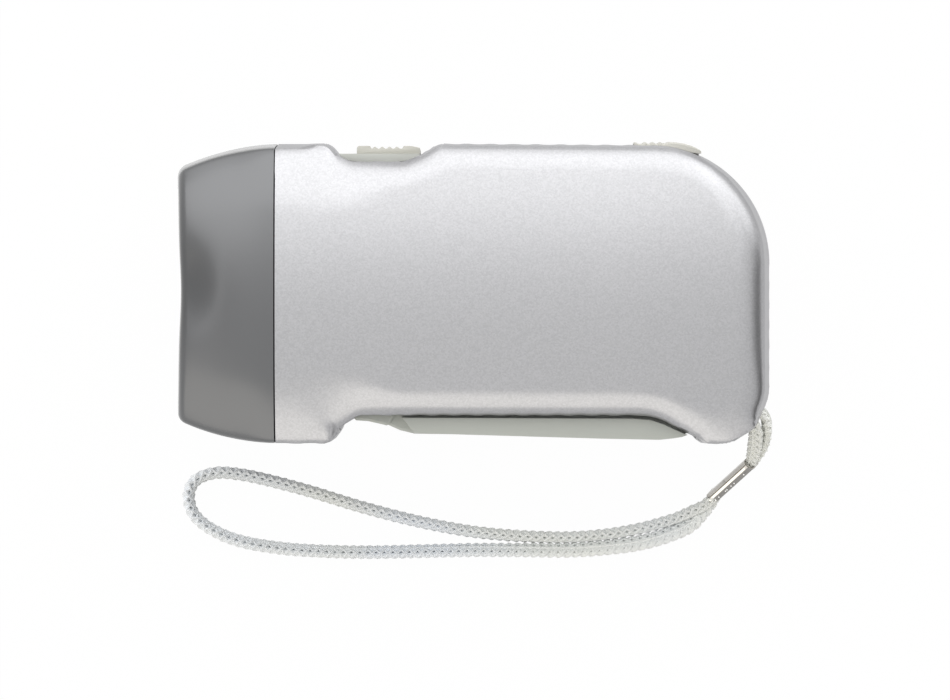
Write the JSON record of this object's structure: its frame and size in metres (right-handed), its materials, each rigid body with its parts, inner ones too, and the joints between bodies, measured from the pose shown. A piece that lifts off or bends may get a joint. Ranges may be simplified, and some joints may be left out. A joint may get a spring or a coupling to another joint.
{
  "type": "hand squeezed dynamo flashlight",
  "caption": "Squeeze-lever dynamo flashlight with a moulded silver body, smoked lens head, slide switch, lever lock and braided wrist strap.",
  "frame": {"origin": "centre of the body's footprint, on the surface that the far side lies on, strap left out", "axes": "+X from the lens to the tail, +Y from the lever to the light switch, +Z from the far side up to the near side"},
  "size_m": [0.106, 0.0748, 0.04],
  "materials": {
    "silver_paint": "satin metallic silver paint on moulded plastic",
    "smoked_plastic": "smoked grey, half clear, smooth",
    "grey_plastic": "satin warm grey",
    "lever_plastic": "satin greenish grey",
    "clear_plastic": "clear, polished",
    "mirror_plastic": "bright metal coated",
    "led_resin": "clear resin",
    "circuit_board": "green solder mask",
    "black_plastic": "black moulded",
    "white_plastic": "natural white, low friction",
    "steel": "plated steel",
    "magnet": "dark sintered magnet",
    "copper": "enamelled copper wire",
    "cord": "flat grey braid",
    "wire_red": "red insulated wire",
    "wire_black": "black insulated wire"
  },
  "bodies": {
    "housing": {"upper_shell": "silver_paint", "lower_shell": "silver_paint", "bezel": "smoked_plastic", "lens": "clear_plastic", "reflector": "mirror_plastic", "led_1": "led_resin", "led_2": "led_resin", "led_3": "led_resin", "led_board": "circuit_board", "led_board_screw_1": "steel", "led_board_screw_2": "steel", "main_board": "circuit_board", "slide_switch_body": "steel", "switch_plate": "grey_plastic", "diode_1": "black_plastic", "diode_2": "black_plastic", "diode_3": "black_plastic", "diode_4": "black_plastic", "capacitor": "black_plastic", "battery_cell_1": "steel", "battery_cell_2": "steel", "battery_cell_3": "steel", "battery_holder": "black_plastic", "lever_pin": "steel", "first_axle": "steel", "second_axle": "steel", "stator_core": "steel", "coil_bobbin": "black_plastic", "coil_winding": "copper", "gear_frame": "white_plastic", "gear_cover": "white_plastic", "frame_screw_1": "steel", "frame_screw_2": "steel", "frame_screw_3": "steel", "body_screw_1": "steel", "body_screw_2": "steel", "body_screw_3": "steel", "body_screw_4": "steel", "wrist_strap": "cord", "strap_eye_loop": "cord", "strap_crimp": "steel", "led_wire_1": "wire_red", "led_wire_2": "wire_black", "coil_wire_1": "wire_red", "coil_wire_2": "wire_black"},
    "squeeze_lever": {"lever": "lever_plastic", "sector_gear": "white_plastic", "return_spring": "steel"},
    "first_wheel": {"first_gear": "white_plastic"},
    "second_wheel": {"second_gear": "white_plastic"},
    "rotor": {"rotor_shaft": "steel", "rotor_pinion": "white_plastic", "rotor_magnet": "magnet", "flywheel": "steel"},
    "light_switch": {"switch_knob": "grey_plastic", "slide_switch_stem": "black_plastic"},
    "lever_lock": {"lock_button": "grey_plastic", "lock_arm": "white_plastic"}
  },
  "joints": [
    {"name": "lever_swing", "type": "hinge", "parent": "housing", "child": "squeeze_lever", "pos_m": [-0.0153, -0.0192, 0.02], "axis": [0, 0, -1], "range_deg": [0, 30]},
    {"name": "first_wheel_spin", "type": "hinge", "parent": "housing", "child": "first_wheel", "pos_m": [0.00167, -0.00223, 0.02], "axis": [0, 0, 1], "continuous": true},
    {"name": "second_wheel_spin", "type": "hinge", "parent": "housing", "child": "second_wheel", "pos_m": [0.01131, 0.00926, 0.02], "axis": [0, 0, 1], "continuous": true},
    {"name": "rotor_spin", "type": "hinge", "parent": "housing", "child": "rotor", "pos_m": [0.02259, 0.00516, 0.02], "axis": [0, 0, 1], "continuous": true},
    {"name": "switch_slide", "type": "slide", "parent": "housing", "child": "light_switch", "axis": [-1, 0, 0], "range_m": [0, 0.0028]},
    {"name": "lock_slide", "type": "slide", "parent": "housing", "child": "lever_lock", "axis": [1, 0, 0], "range_m": [0, 0.0026]}
  ],
  "couplings": [
    {"joint": "first_wheel_spin", "follows": "lever_swing", "ratio": 5},
    {"joint": "second_wheel_spin", "follows": "lever_swing", "ratio": -20},
    {"joint": "rotor_spin", "follows": "lever_swing", "ratio": 60}
  ]
}
